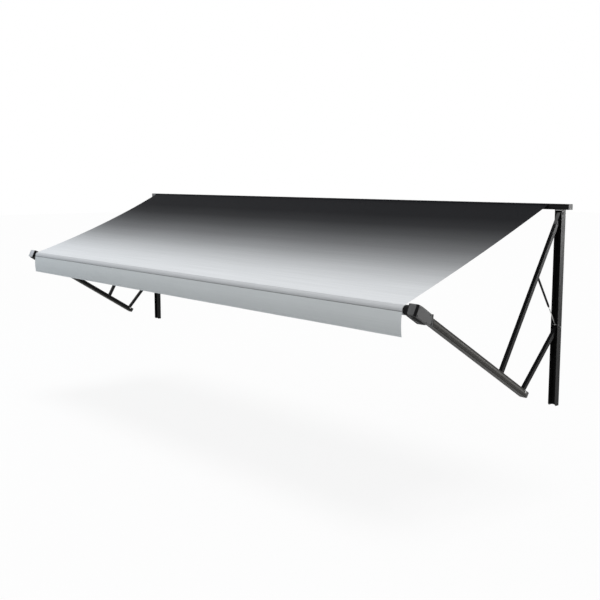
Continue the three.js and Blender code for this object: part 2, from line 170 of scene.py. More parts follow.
class AwningPlastic(bpy.types.PropertyGroup):
    """Colours of the moulded pieces."""

    housing: colour("Housings", "Head housings and end caps", (0.088, 0.088, 0.088))
    plug: colour("Plugs", "Roller plugs and sliders", (0.009, 0.009, 0.0095))
    cap: colour("Rail Caps", "Caps on the rail's ends", (0.15, 0.15, 0.152))
    stop: colour("Groove Stop", "Stop in the rail's groove", (0.23, 0.23, 0.233))
    # The left head's light grey is painted light on its front and outer faces
    painted_light_trim: colour("Trim", "Light trim of the left head", (0.55, 0.56, 0.58))
    screw_count: IntProperty(name="Screws", description="Screws in each housing cover", default=4, min=0)


class AwningStage(bpy.types.PropertyGroup):
    """Camera, light and floor."""

    lens: FloatProperty(
        name="Lens", description="Focal length in millimetres on a 36 mm frame", default=55.47)
    pitch: angle("Pitch", "Camera tilt below level", 7.58)
    turn: angle("Turn", "Camera turn about the vertical", 49.88)
    place: FloatVectorProperty(
        name="Place", description="Camera place", subtype="TRANSLATION", size=3,
        default=(7.7063, -6.6553, 0.2451))
    floor_height: length("Floor Height", "Floor below the rail", -2.6)
    sky: FloatProperty(name="Sky", description="Strength of the even light", default=0.42)
    sun: FloatProperty(name="Sun", description="Strength of the soft lamp overhead", default=1.6)
    rim: FloatProperty(name="Rim", description="Strength of the lamp behind on the right", default=1.9)
    side: FloatProperty(name="Side", description="Power of the cool lamp at the left in watts", default=50.0)


# Modelling helpers


SHADE_ANGLE = 32.0
CLOTH_SHADE_ANGLE = 40.0
BEVEL_ANGLE = 35.0
FLAT_ANGLE = 1.0
MERGE_DISTANCE = 1e-5


def take(obj):
    """Makes obj the only selected object, outside edit mode."""
    if bpy.context.object and bpy.context.object.mode != "OBJECT":
        bpy.ops.object.mode_set(mode="OBJECT")
    bpy.ops.object.select_all(action="DESELECT")
    obj.select_set(True)
    bpy.context.view_layer.objects.active = obj


def named(name):
    """Names the active object and its mesh."""
    obj = bpy.context.active_object
    obj.name = name
    obj.data.name = name
    return obj


def settle(obj):
    """Puts the object's place into its mesh."""
    take(obj)
    bpy.ops.object.transform_apply(location=True, rotation=True, scale=True)
    return obj


def merge(name, *pieces):
    """Several objects as one mesh object."""
    take(pieces[0])
    for piece in pieces[1:]:
        piece.select_set(True)
    bpy.ops.object.join()
    return named(name)


def smooth(obj, degrees=SHADE_ANGLE):
    """Smooth shading with sharp edges kept."""
    take(obj)
    bpy.ops.object.shade_smooth_by_angle(angle=math.radians(degrees))
    return obj


def apply_modifier(obj, name, kind, **settings):
    """Adds a modifier with its settings and applies it."""
    take(obj)
    modifier = obj.modifiers.new(name, kind)
    for key, value in settings.items():
        setattr(modifier, key, value)
    bpy.ops.object.modifier_apply(modifier=modifier.name)


def soften(obj, width, segments=2):
    """Rounds the sharp edges."""
    apply_modifier(obj, "Edges", "BEVEL", width=width, segments=segments, limit_method="ANGLE",
                   angle_limit=math.radians(BEVEL_ANGLE), use_clamp_overlap=True)


def thicken(obj, thickness):
    """Gives an open sheet its thickness, half to each side."""
    apply_modifier(obj, "Thickness", "SOLIDIFY", thickness=thickness, offset=0.0)


def outward(obj):
    """Turns every face outwards."""
    take(obj)
    bpy.ops.object.mode_set(mode="EDIT")
    bpy.ops.mesh.select_all(action="SELECT")
    bpy.ops.mesh.normals_make_consistent(inside=False)
    bpy.ops.object.mode_set(mode="OBJECT")


def turn_to(axis):
    """Rotation that lays a piece made along Z along axis."""
    return Vector(axis).to_track_quat("Z", "Y").to_euler()


def select_faces(obj, wanted):
    """In edit mode, selects the faces for which wanted(face) is true."""
    bpy.ops.mesh.select_mode(type="FACE")
    bpy.ops.mesh.select_all(action="DESELECT")
    mesh = bmesh.from_edit_mesh(obj.data)
    for face in mesh.faces:
        if wanted(face):
            face.select_set(True)
    bmesh.update_edit_mesh(obj.data)


def turned_rod(name, start, end, steps, sides=48, edge=0.0004):
    """A turned rod from start to end, with steps as (share of the length where it ends, radius)."""
    axis = end - start
    (share, radius), *others = steps
    height = share * axis.length
    bpy.ops.mesh.primitive_cylinder_add(
        vertices=sides, radius=radius, depth=height, end_fill_type="NGON", location=(0.0, 0.0, height / 2))
    rod = named(name)
    bpy.ops.object.mode_set(mode="EDIT")
    for share, wider in others:
        select_faces(rod, lambda face: face.normal.z > 0.9 and
                     face.calc_center_median().z + rod.location.z > height - 1e-6)
        bpy.ops.mesh.extrude_region_move()
        bpy.ops.transform.resize(value=(wider / radius, wider / radius, 1.0))
        bpy.ops.mesh.extrude_region_move(
            TRANSFORM_OT_translate={"value": (0.0, 0.0, share * axis.length - height)})
        radius, height = wider, share * axis.length
    bpy.ops.object.mode_set(mode="OBJECT")
    settle(rod)
    if edge:
        soften(rod, edge)
    rod.rotation_euler = turn_to(axis)
    rod.location = start
    return smooth(settle(rod))


def slab(name, size, centre, edge, slope=None):
    """A block of size (x, y, z), rounded by edge. With slope, y lies along that direction and x stays."""
    bpy.ops.mesh.primitive_cube_add(size=1.0)
    block = named(name)
    block.scale = size
    settle(block)
    if edge:
        soften(block, edge)
    if slope is not None:
        block.rotation_euler = (math.atan2(slope.z, slope.y), 0.0, 0.0)
    block.location = centre
    return smooth(settle(block))


def bolt_head(name, place, way, radius, height):
    """A hexagon head with a washer, standing out along X from place."""
    washer_height = 0.0012
    washer_share = 1.18
    chamfer = 0.0009
    crown_share = 0.62
    crown_flatness = 0.28
    crown_sink = 0.0008
    bpy.ops.mesh.primitive_cylinder_add(vertices=40, radius=radius * washer_share, depth=washer_height)
    washer = named(name + "_washer")
    washer.location = (0.0, 0.0, washer_height / 2)
    settle(washer)
    bpy.ops.mesh.primitive_cylinder_add(vertices=6, radius=radius, depth=height - washer_height)
    head = named(name)
    head.location = (0.0, 0.0, (height + washer_height) / 2)
    soften(settle(head), chamfer, 3)
    bpy.ops.mesh.primitive_uv_sphere_add(segments=24, ring_count=8, radius=radius * crown_share)
    crown = named(name + "_crown")
    crown.scale = (1.0, 1.0, crown_flatness)
    crown.location = (0.0, 0.0, height - crown_sink)
    settle(crown)
    whole = merge(name, head, washer, crown)
    whole.rotation_euler = turn_to((way, 0.0, 0.0))
    whole.location = place
    return smooth(settle(whole))


def at_arm(side, outward_by, down, across):
    """Place beside a head arm: outward from its middle, down from the roller's axis, and across it."""
    way = SIDES[side]
    return Vector((way * (ARM_X + outward_by), ROLLER.y, ROLLER.z)) + DOWN_ARM * down + ACROSS_ARM * across


def beside_arm(down, across):
    """Direction beside a head arm, from its parts down the arm and across it."""
    return (DOWN_ARM * down + ACROSS_ARM * across).normalized()


def wear(obj, material):
    """Gives the whole object one material."""
    obj.data.materials.clear()
    obj.data.materials.append(material)
    for face in obj.data.polygons:
        face.material_index = 0
    return obj


def rides_with(obj, node, material):
    """A detail of the scene that moves with a CAD node's body."""
    wear(obj, material)
    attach(obj, BODIES[node])


def stands_for(obj, node):
    """A finished piece that moves with a CAD node's body and replaces the node."""
    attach(obj, BODIES[node])
    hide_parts(node)


def dressed(node, material, edge, segments=2):
    """A copy of a CAD node with its facets merged and its edges rounded, which stands for the node."""
    obj = bpy.data.objects.new(node + "_finished", NODES[node].data.copy())
    bpy.context.scene.collection.objects.link(obj)
    take(obj)
    bpy.ops.object.mode_set(mode="EDIT")
    bpy.ops.mesh.select_all(action="SELECT")
    bpy.ops.mesh.remove_doubles(threshold=MERGE_DISTANCE)
    bpy.ops.mesh.dissolve_limited(angle_limit=math.radians(FLAT_ANGLE))
    bpy.ops.object.mode_set(mode="OBJECT")
    if edge:
        soften(obj, edge, segments)
    smooth(obj)
    # The large flat faces set the normals, so that they render flat between their rounded edges
    apply_modifier(obj, "Weighted normals", "WEIGHTED_NORMAL", weight=100, keep_sharp=True)
    stands_for(obj, node)
    return wear(obj, material)


def cloth_uv(obj, flat_place):
    """The UV map in metres. flat_place gives a vertex's place on the flat fabric from its index."""
    mesh = obj.data
    layer = mesh.uv_layers.active or mesh.uv_layers.new()
    layer.name = "cloth"
    for loop in mesh.loops:
        layer.data[loop.index].uv = flat_place(loop.vertex_index)


def uv_round_roller(obj):
    """UV in metres along the roller and round it."""
    def flat_place(index):
        point = obj.data.vertices[index].co - ROLLER
        return point.x, WRAP_RADIUS * math.atan2(point.z, point.y)
    cloth_uv(obj, flat_place)


def fabric_grid(name, columns, rows, drop, place, span=(0.0, 1.0)):
    """An open grid that place shapes from shares of the cloth's width and drop, and its vertices' shares."""
    bpy.ops.mesh.primitive_grid_add(x_subdivisions=columns, y_subdivisions=rows, size=1.0)
    grid = named(name)
    vertices = grid.data.vertices
    first, last = span
    shares = [(vertex.co.x + 0.5, first + (last - first) * (0.5 - vertex.co.y)) for vertex in vertices]
    cloth_uv(grid, lambda index: (shares[index][0] * CLOTH_WIDTH, shares[index][1] * drop))
    for vertex, (across, along) in zip(vertices, shares):
        vertex.co = place(across, along)
    return grid, shares


# Shader groups and materials


def add(tree, kind, **settings):
    """A node with its settings."""
    node = tree.nodes.new(kind)
    for key, value in settings.items():
        setattr(node, key, value)
    return node


def arithmetic(tree, operation, first, second=0.0):
    """A maths node on two sockets or numbers."""
    node = add(tree, "ShaderNodeMath", operation=operation)
    for index, value in enumerate((first, second)):
        if hasattr(value, "is_output"):
            tree.links.new(value, node.inputs[index])
        else:
            node.inputs[index].default_value = value
    return node.outputs[0]


def noise(tree, vector, **values):
    """A noise texture on a vector, with its input values."""
    node = add(tree, "ShaderNodeTexNoise")
    for label, value in values.items():
        node.inputs[label].default_value = value
    tree.links.new(vector, node.inputs["Vector"])
    return node


def node_group(name, inputs):
    """A shader group with its sockets, which puts out a colour, a roughness and a normal."""
    group = bpy.data.node_groups.new(name, "ShaderNodeTree")
    for label, kind, value in inputs:
        socket = group.interface.new_socket(name=label, in_out="INPUT", socket_type="NodeSocket" + kind)
        if value is not None:
            socket.default_value = value
    for label, kind in (("Colour", "Color"), ("Roughness", "Float"), ("Normal", "Vector")):
        group.interface.new_socket(name=label, in_out="OUTPUT", socket_type="NodeSocket" + kind)
    return group, group.nodes.new("NodeGroupInput").outputs


def close_group(group, colour_in, brightness, roughness, height, strength, distance):
    """Leads the scaled colour, the roughness and a bump's normal out of a shader group."""
    end = group.nodes.new("NodeGroupOutput")
    link = group.links.new
    coloured = add(group, "ShaderNodeVectorMath", operation="SCALE")
    link(colour_in, coloured.inputs[0])
    link(brightness, coloured.inputs["Scale"])
    bump = add(group, "ShaderNodeBump")
    bump.inputs["Distance"].default_value = distance
    link(strength, bump.inputs["Strength"])
    link(height, bump.inputs["Height"])
    link(coloured.outputs[0], end.inputs["Colour"])
    link(roughness, end.inputs["Roughness"])
    link(bump.outputs["Normal"], end.inputs["Normal"])
    return group


def finish_group():
    """Fine grain, uneven tone and roughness of a painted, moulded or drawn surface."""
    if "Surface Finish" in bpy.data.node_groups:
        return bpy.data.node_groups["Surface Finish"]
    cloud_scale = 7.0
    rough_share = 0.9
    group, given = node_group("Surface Finish", [
        ("Colour", "Color", (0.1, 0.1, 0.1, 1.0)), ("Grain Scale", "Float", 900.0),
        ("Grain Depth", "Float", 0.1), ("Unevenness", "Float", 0.15), ("Roughness", "Float", 0.45),
        ("Coordinates", "Vector", None),
    ])
    grain = noise(group, given["Coordinates"], Detail=3.0)
    group.links.new(given["Grain Scale"], grain.inputs["Scale"])
    cloud = noise(group, given["Coordinates"], Scale=cloud_scale, Detail=4.0)
    both = arithmetic(group, "ADD", cloud.outputs["Fac"], grain.outputs["Fac"])
    tone = arithmetic(group, "MULTIPLY", arithmetic(group, "SUBTRACT", both, 1.0), given["Unevenness"])
    rough = arithmetic(group, "ADD", given["Roughness"], arithmetic(group, "MULTIPLY", tone, rough_share))
    return close_group(group, given["Colour"], arithmetic(group, "ADD", tone, 1.0), rough,
                       grain.outputs["Fac"], given["Grain Depth"], distance=0.0004)


def weave_group():
    """Crossed threads and faint lengthwise streaks of a coated fabric, from UV in metres."""
    if "Coated Weave" in bpy.data.node_groups:
        return bpy.data.node_groups["Coated Weave"]
    streak_stretch = (0.22, 26.0, 1.0)
    thread_tone = 0.03
    rough_least, rough_more = 0.62, 0.12
    group, given = node_group("Coated Weave", [
        ("UV", "Vector", None), ("Colour", "Color", (0.5, 0.5, 0.5, 1.0)), ("Threads", "Float", 900.0),
        ("Thread Depth", "Float", 0.25), ("Streaks", "Float", 0.05),
    ])
    split = add(group, "ShaderNodeSeparateXYZ")
    group.links.new(given["UV"], split.inputs[0])
    waves = []
    for axis in ("X", "Y"):
        turn = arithmetic(group, "MULTIPLY", split.outputs[axis], given["Threads"])
        waves.append(arithmetic(group, "ABSOLUTE", arithmetic(group, "SINE", turn)))
    threads = arithmetic(group, "MULTIPLY", *waves)
    long_lines = add(group, "ShaderNodeVectorMath", operation="MULTIPLY")
    long_lines.inputs[1].default_value = streak_stretch
    group.links.new(given["UV"], long_lines.inputs[0])
    streak = noise(group, long_lines.outputs[0], Scale=3.2, Detail=5.0, Roughness=0.62).outputs["Fac"]
    streaks = arithmetic(group, "MULTIPLY", arithmetic(group, "SUBTRACT", streak, 0.5), given["Streaks"])
    specks = arithmetic(group, "MULTIPLY", arithmetic(group, "SUBTRACT", threads, 0.4), thread_tone)
    tone = arithmetic(group, "ADD", arithmetic(group, "ADD", 1.0, streaks), specks)
    rough = arithmetic(group, "ADD", rough_least, arithmetic(group, "MULTIPLY", streak, rough_more))
    return close_group(group, given["Colour"], tone, rough, threads, given["Thread Depth"], distance=0.0003)


def new_material(name, effect, specular):
    """A material whose shader gets its colour, roughness and normal from a shader group."""
    material = bpy.data.materials.new(name)
    material.use_nodes = True
    tree = material.node_tree
    shader = tree.nodes["Principled BSDF"]
    shader.inputs["Specular IOR Level"].default_value = specular
    group = add(tree, "ShaderNodeGroup", node_tree=effect)
    for output, target in (("Colour", "Base Color"), ("Roughness", "Roughness"), ("Normal", "Normal")):
        tree.links.new(group.outputs[output], shader.inputs[target])
    return material, group, shader


def surface(name, tint, roughness=0.45, metallic=0.0, grain=900.0, depth=0.1, uneven=0.15, specular=0.5):
    """A painted, moulded or metal material with grain."""
    if name in bpy.data.materials:
        return bpy.data.materials[name]
    material, group, shader = new_material(name, finish_group(), specular)
    shader.inputs["Metallic"].default_value = metallic
    for label, value in (("Colour", (*tint, 1.0)), ("Grain Scale", grain), ("Grain Depth", depth),
                         ("Unevenness", uneven), ("Roughness", roughness)):
        group.inputs[label].default_value = value
    place = add(material.node_tree, "ShaderNodeTexCoord")
    material.node_tree.links.new(place.outputs["Object"], group.inputs["Coordinates"])
    return material


def fabric(name, tint, streaks=0.09, threads=2600.0):
    """Laminated fabric of one colour."""
    if name in bpy.data.materials:
        return bpy.data.materials[name]
    material, weave, _ = new_material(name, weave_group(), specular=0.03)
    for label, value in (("Colour", (*tint, 1.0)), ("Streaks", streaks), ("Threads", threads)):
        weave.inputs[label].default_value = value
    place = add(material.node_tree, "ShaderNodeUVMap", uv_map="cloth")
    material.node_tree.links.new(place.outputs[0], weave.inputs["UV"])
    return material


def metal():
    """Colours and edges of the metal pieces."""
    return bpy.context.scene.awning_metal


def plastic():
    """Colours of the moulded pieces and the count of their screws."""
    return bpy.context.scene.awning_plastic


def cloth_sizes():
    """Sizes and colours of the fabric."""
    return bpy.context.scene.awning_fabric


def link_paint():
    """Black paint of the links, struts and rail."""
    return surface("black_link_paint", metal().link, roughness=0.31, grain=1200.0, depth=0.06, specular=0.1)


def channel_paint():
    """Black enamel of the wall channels and the roller tube."""
    return surface("channel_enamel", metal().channel, roughness=0.32, grain=1200.0, depth=0.06, specular=0.1)


def plate_paint():
    """Grey enamel of the plates at the upper links' wall ends."""
    return surface("plate_enamel", metal().plate, roughness=0.4, specular=0.1)


def arm_paint():
    """Brown-black enamel of the head arms."""
    return surface("arm_enamel", metal().arm, roughness=0.42, grain=700.0, depth=0.06, uneven=0.2,
                   specular=0.14)


def band_highlight_paint():
    """Lighter enamel of the head arms' raised bands: the band is real shape, and its lighter colour is a painted
    highlight where the rounded band catches the light.
    """
    return surface("arm_band_enamel", metal().band_highlight, roughness=0.4, grain=700.0, depth=0.06, specular=0.14)


def steel():
    """Zinc-plated steel of the bolts, pins and strut rods."""
    return surface("zinc_steel", metal().steel, roughness=0.3, metallic=0.9, grain=1500.0, uneven=0.2)


def dark_steel():
    """Blackened steel of the wall pivots."""
    return surface("dark_steel", (0.09, 0.09, 0.09), roughness=0.42, metallic=0.6, grain=1500.0)


def clip_zinc():
    """Pale zinc of the clips between rail and channels."""
    return surface("clip_zinc", (0.62, 0.62, 0.62), roughness=0.4, metallic=0.3)


def recess_black():
    """Painted shade: near black standing in for the shadow inside a screw's recess."""
    return surface("recess_black", (0.003, 0.003, 0.003), roughness=0.7, specular=0.03)


def housing_plastic():
    """Grey plastic of the head housings and arm caps."""
    return surface("housing_plastic", plastic().housing, grain=1600.0, depth=0.3, uneven=0.1, specular=0.3)


def plug_plastic():
    """Black plastic of the roller plugs, sliders and the black rods along the housings' corners."""
    return surface("moulded_black", plastic().plug, roughness=0.5, grain=1600.0, depth=0.25, uneven=0.1,
                   specular=0.04)


def cap_plastic():
    """Mid grey plastic of the rail's caps."""
    return surface("grey_cap_plastic", plastic().cap, roughness=0.5, grain=1600.0, depth=0.25, uneven=0.08,
                   specular=0.3)


def stop_plastic():
    """Pale grey plastic that closes the rail's groove beside the canopy."""
    return surface("pale_plastic", plastic().stop, roughness=0.42, specular=0.1)


def trim_plastic():
    """Painted light: light grey plastic on the left head only, standing in for the light on its front and outer
    faces.
    """
    return surface("trim_plastic", plastic().painted_light_trim, roughness=0.5, grain=1600.0, depth=0.2, uneven=0.06,
                   specular=0.2)


def seam_shadow():
    """Painted shade: dark grey standing in for the shadow in the seam where the valance is sewn on."""
    return surface("seam_shadow", (0.045, 0.047, 0.05), roughness=0.8, specular=0.02)


def valance_fabric():
    """Pale fabric of the valance."""
    return fabric("valance_fabric", cloth_sizes().valance)


def shade_of(tint, factor):
    """A colour made darker or lighter by a factor."""
    return tuple(factor * share for share in tint)


def thread():
    """Darker thread of the hem's stitches."""
    return fabric("thread", shade_of(cloth_sizes().valance, 0.55), threads=9000.0)


def roll_fabric():
    """The wound fabric's pale end, a little darker than the canopy's."""
    return fabric("roll_fabric", shade_of(cloth_sizes().pale, 0.8))


def edge_fabric():
    """The dark strip over the rail's groove, a little lighter than the canopy beside it."""
    return fabric("edge_fabric", shade_of(cloth_sizes().dark, 2.6))


# The printed fade, as (share of the way from the wall, share of the pale colour)
FADE = ((0.0, 0.0), (0.15, 0.0), (0.25, 0.02), (0.36, 0.085), (0.48, 0.20), (0.60, 0.39), (0.72, 0.66),
        (0.84, 0.89), (0.95, 1.0))


def fade_fabric():
    """The canopy's fabric, with the printed fade from the dark end to the pale one."""
    sizes = cloth_sizes()
    material = fabric("fade_fabric", sizes.dark, streaks=0.3)
    tree = material.node_tree
    weave = next(node for node in tree.nodes if node.type == "GROUP")
    along = add(tree, "ShaderNodeAttribute", attribute_name="way_out")
    ramp = add(tree, "ShaderNodeValToRGB")
    stops = ramp.color_ramp.elements
    while len(stops) < len(FADE):
        stops.new(0.5)
    for stop, (spot, share) in zip(stops, FADE):
        stop.position = spot
        stop.color = (*(dark + (pale - dark) * share for dark, pale in zip(sizes.dark, sizes.pale)), 1.0)
    tree.links.new(along.outputs["Fac"], ramp.inputs["Fac"])
    tree.links.new(ramp.outputs["Color"], weave.inputs["Colour"])
    return material


# Operators, one for each group of pieces


def turn_upwards(obj):
    """Turns an open sheet's faces upwards."""
    mesh = obj.data
    mesh.update()
    if sum(face.normal.z for face in mesh.polygons) < 0:
        mesh.flip_normals()


class AWNING_OT_canopy(bpy.types.Operator):
    """Makes the sagging canopy and the dark strip over its bead."""

    bl_idname = "awning.canopy"
    bl_label = "Canopy"
    columns = 96
    rows = 72
    rail_gap = 0.0003
    roll_gap = 0.0009
    folded_gap = 0.004
    edge_lift = 0.010
    edge_pull_power = 9
    edge_lift_power = 6
    ripple_height = 0.0022
    ripples_across = 23.0
    ripple_slant = 3.0
    flat_allowance = 1.003
    strip_thickness = 0.001
    strip_offset = 0.0008
    strip_gap = 0.0012
    strip_margin = 0.0006

    def place(self, sizes, across, along):
        """Point of the cloth's middle layer, for shares across the width and along the way out."""
        start = Vector((0.0, RAIL_FRONT - self.rail_gap, sizes.groove_height))
        slope = math.atan2(start.z - ROLLER.z - WRAP_RADIUS, start.y - ROLLER.y)
        normal = Vector((0.0, -math.sin(slope), math.cos(slope)))
        end = Vector((0.0, ROLLER.y, ROLLER.z)) + normal * (WRAP_RADIUS + self.roll_gap)
        hang = 4.0 * along * (1.0 - along)
        off_centre = 2.0 * across - 1.0
        pull = sizes.edge_curve * hang * math.copysign(abs(off_centre) ** self.edge_pull_power, off_centre)
        lift = self.edge_lift * hang * abs(off_centre) ** self.edge_lift_power
        ripple = self.ripple_height * math.sin(math.pi * along) * math.sin(
            across * self.ripples_across + self.ripple_slant * along)
        point = start.lerp(end, along) - normal * (sizes.sag * hang - lift - ripple)
        point.x = CLOTH_LEFT + CLOTH_WIDTH * across - pull
        return point

    def execute(self, context):
        sizes = cloth_sizes()
        span = (self.place(sizes, 0.5, 1.0) - self.place(sizes, 0.5, 0.0)).length
        cloth, shares = fabric_grid("canopy_cloth", self.columns, self.rows, span,
                                    lambda across, along: self.place(sizes, across, along))
        way_out = cloth.data.attributes.new("way_out", "FLOAT", "POINT")
        way_out.data.foreach_set("value", [along for _, along in shares])
        turn_upwards(cloth)
        thicken(cloth, sizes.thickness)
        smooth(cloth, CLOTH_SHADE_ANGLE)
        wear(cloth, fade_fabric())
        stands_for(cloth, "canopy")
        self.cover_bead(sizes)
        self.fold_away(cloth, sizes)
        return {"FINISHED"}

    def cover_bead(self, sizes):
        """The dark strip of fabric on the rail's front above the groove."""
        bottom = sizes.groove_height + self.strip_gap
        top = RAIL_HIGH.z - self.strip_margin
        centre = Vector((CLOTH_MIDDLE, RAIL_FRONT - self.strip_offset, (bottom + top) / 2))
        size = (CLOTH_WIDTH, self.strip_thickness, top - bottom)
        strip = slab("canopy_cover_strip", size, centre, edge=0.0003)
        uv_round_roller(strip)
        rides_with(strip, "canopy", edge_fabric())

    def fold_away(self, cloth, sizes):
        """Works out the cloth's middle point at the roller, with its x set to 0, and gives the cloth its own copy
        of its mesh.
        """
        end = self.place(sizes, 0.5, 1.0)
        end.x = 0.0
        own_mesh(cloth)


class AWNING_OT_valance(bpy.types.Operator):
    """Makes the valance with its folded hem, the dark strip of painted shade in the seam and the wound fabric."""

    bl_idname = "awning.valance"
    bl_label = "Valance and Roll"
    columns = 140
    rows = 20
    hem_rows = 2
    roll_gap = 0.0012
    bulge = 0.0070
    wide_wave = 0.0016
    wide_waves = 31.0
    fine_wave = 0.0010
    fine_waves = 77.0
    stitches = 420
    stitch_share = 0.6
    stitch_section = (0.0005, 0.0008)
    stitch_layer = 1.6
    seam_section = (0.0012, 0.0045)
    seam_margin = 0.001
    seam_sink = 0.0004

    def drape(self, front, across, down):
        """Point of a layer of the valance, for shares across the width and down from the seam."""
        wave = (self.wide_wave * down * math.sin(across * self.wide_waves)
                + self.fine_wave * down * math.sin(across * self.fine_waves + 1.0))
        bulge = self.bulge * math.sin(math.pi * down)
        height = SEAM_HEIGHT - VALANCE_DROP * down
        return Vector((CLOTH_LEFT + CLOTH_WIDTH * across, front + wave - bulge, height))

    def layer(self, name, rows, front, thickness, span=(0.0, 1.0)):
        """A layer of the valance over a span of its drop."""
        layer, _ = fabric_grid(name, self.columns, rows, VALANCE_DROP,
                               lambda across, down: self.drape(front, across, down), span)
        thicken(layer, thickness)
        outward(layer)
        return smooth(layer, CLOTH_SHADE_ANGLE)

    def execute(self, context):
        sizes = cloth_sizes()
        thickness = sizes.thickness
        front = ROLLER.y - WRAP_RADIUS - self.roll_gap
        cloth = wear(self.layer("valance_cloth", self.rows, front, thickness), valance_fabric())
        stands_for(cloth, "valance")
        hem_share = 1.0 - sizes.hem_height / VALANCE_DROP
        hem = self.layer("valance_hem", self.hem_rows, front - thickness, thickness, (hem_share, 1.0))
        rides_with(hem, "valance", valance_fabric())
        stitch = self.stitch(front - self.stitch_layer * thickness, hem_share)
        rides_with(stitch, "valance", thread())
        self.seam(front)
        self.roll()
        return {"FINISHED"}

    def stitch(self, front, share):
        """The stitches above the hem, as one row of short threads."""
        pitch = CLOTH_WIDTH / self.stitches
        bpy.ops.mesh.primitive_cube_add(size=1.0)
        row = named("valance_stitch")
        row.scale = (pitch * self.stitch_share, *self.stitch_section)
        first = self.drape(front, 0.5 / self.stitches, share)
        row.location = first
        settle(row)
        apply_modifier(row, "Row", "ARRAY", count=self.stitches, use_relative_offset=False,
                       use_constant_offset=True, constant_offset_displace=(pitch, 0.0, 0.0))
        vertices = row.data.vertices
        for vertex in vertices:
            across = (vertex.co.x - CLOTH_LEFT) / CLOTH_WIDTH
            vertex.co.y += self.drape(front, across, share).y - first.y
        cloth_uv(row, lambda index: (vertices[index].co.x, vertices[index].co.z))
        return row

    def seam(self, front):
        """A dark strip under the roll, where the valance is sewn on: painted shade standing in for the shadow in
        the seam.
        """
        seam = slab("seam_strip", (CLOTH_WIDTH - 2 * self.seam_margin, *self.seam_section),
                    Vector((CLOTH_MIDDLE, front + self.seam_sink, SEAM_HEIGHT)), edge=0.0002)
        rides_with(seam, "valance", seam_shadow())

    def roll(self):
        """The wound fabric, round and smooth."""
        ends = [Vector((x, ROLLER.y, ROLLER.z)) for x in (CLOTH_LEFT, CLOTH_RIGHT)]
        roll = turned_rod("wound_fabric", *ends, [(1.0, WRAP_RADIUS)], sides=96, edge=0.0)
        uv_round_roller(roll)
        wear(roll, roll_fabric())
        stands_for(roll, "fabric_roll")


class AWNING_OT_roller(bpy.types.Operator):
    """Makes the roller tube, its end plugs, the motor, its crown and the idler spindle."""

    bl_idname = "awning.roller"
    bl_label = "Roller"
    ring_radius = 0.0401
    ring_thickness = 0.0012
    grey_ring_inset = 0.0018
    black_ring_inset = 0.0042

    def execute(self, context):
        for side, way in SIDES.items():
            node = f"roller_plug_{side}"
            dressed(node, plug_plastic(), edge=0.0012, segments=3)
            rings = ((self.grey_ring_inset, cap_plastic()), (self.black_ring_inset, plug_plastic()))
            for index, (inset, material) in enumerate(rings):
                start = Vector((outer_end(node, way) - way * inset, ROLLER.y, ROLLER.z))
                end = start - Vector((way * self.ring_thickness, 0.0, 0.0))
                ring = turned_rod(f"plug_ring_{side}_{index}", start, end, [(1.0, self.ring_radius)],
                                  sides=96, edge=0.0003)
                rides_with(ring, node, material)
        dressed("roller_tube", channel_paint(), edge=0.0)
        dressed("tube_motor", cap_plastic(), edge=0.0008)
        dressed("motor_crown", steel(), edge=0.0008)
        dressed("idler_spindle", steel(), edge=0.0006)
        return {"FINISHED"}


def pan_screw(name, node, place, way, material):
    """A pan head screw standing out along X, with a thin near black cross on its head as painted shade for its
    recess.
    """
    radius = 0.0042
    sunk = 0.001
    height = 0.0024
    recess_at = 0.0023
    recess_depth = 0.0004
    out = Vector((way, 0.0, 0.0))
    profile = [(0.55, radius), (0.75, 0.9 * radius), (0.92, 0.72 * radius), (1.0, 0.5 * radius)]
    head = turned_rod(name, place - out * sunk, place + out * height, profile, sides=32)
    rides_with(head, node, material)
    # The recess is not cut: a thin cross of painted shade marks it
    bars = []
    for wide, tall in ((0.9, 0.2), (0.2, 0.9)):
        size = (recess_depth, wide * radius, tall * radius)
        bars.append(slab(f"{name}_bar_{len(bars)}", size, place + out * recess_at, edge=0.0))
    rides_with(merge(name + "_cross", *bars), node, recess_black())


class AWNING_OT_rail(bpy.types.Operator):
    """Makes the wall rail, its end caps, its groove stop and the clips on the channels."""

    bl_idname = "awning.rail"
    bl_label = "Rail"
    bead_heights = (-0.0145, -0.0045, 0.021)
    bead_section = (0.0012, 0.0016)
    bead_sink = 0.0003
    stop_gap = 0.004
    stop_thickness = 0.0014
    stop_sink = 0.0006
    stop_share = 0.92
    screw_places = ((-0.018, 0.014), (-0.036, -0.014))
    clip_size = (0.0615, 0.034, 0.0045)
    clip_depth = -0.0375

    def execute(self, context):
        dressed("rail", link_paint(), metal().edge)
        for index, height in enumerate(self.bead_heights):
            centre = Vector(((RAIL_LOW.x + RAIL_HIGH.x) / 2, RAIL_FRONT - self.bead_sink, height))
            size = (RAIL_HIGH.x - RAIL_LOW.x, *self.bead_section)
            bead = slab(f"rail_rib_{index}", size, centre, edge=0.0004)
            rides_with(bead, "rail", link_paint())
        bare = CLOTH_LEFT - self.stop_gap - RAIL_LOW.x
        size = (bare, self.stop_thickness, self.stop_share * (RAIL_HIGH.z - RAIL_LOW.z))
        centre = Vector((RAIL_LOW.x + bare / 2, RAIL_FRONT - self.stop_sink, (RAIL_LOW.z + RAIL_HIGH.z) / 2))
        rides_with(slab("rail_end_stop_left", size, centre, edge=0.0004), "rail", stop_plastic())
        for side, way in SIDES.items():
            cap = f"rail_end_cap_{side}"
            dressed(cap, cap_plastic(), metal().edge, segments=3)
            for index, (depth, height) in enumerate(self.screw_places):
                place = Vector((outer_end(cap, way), depth, height))
                pan_screw(f"rail_cap_screw_{side}_{index}", cap, place, way, steel())
            clip = slab(f"channel_clip_{side}", self.clip_size,
                        Vector((way * ARM_X, self.clip_depth, RAIL_LOW.z - self.clip_size[2])), edge=0.0012)
            rides_with(clip, "rail", clip_zinc())
        return {"FINISHED"}


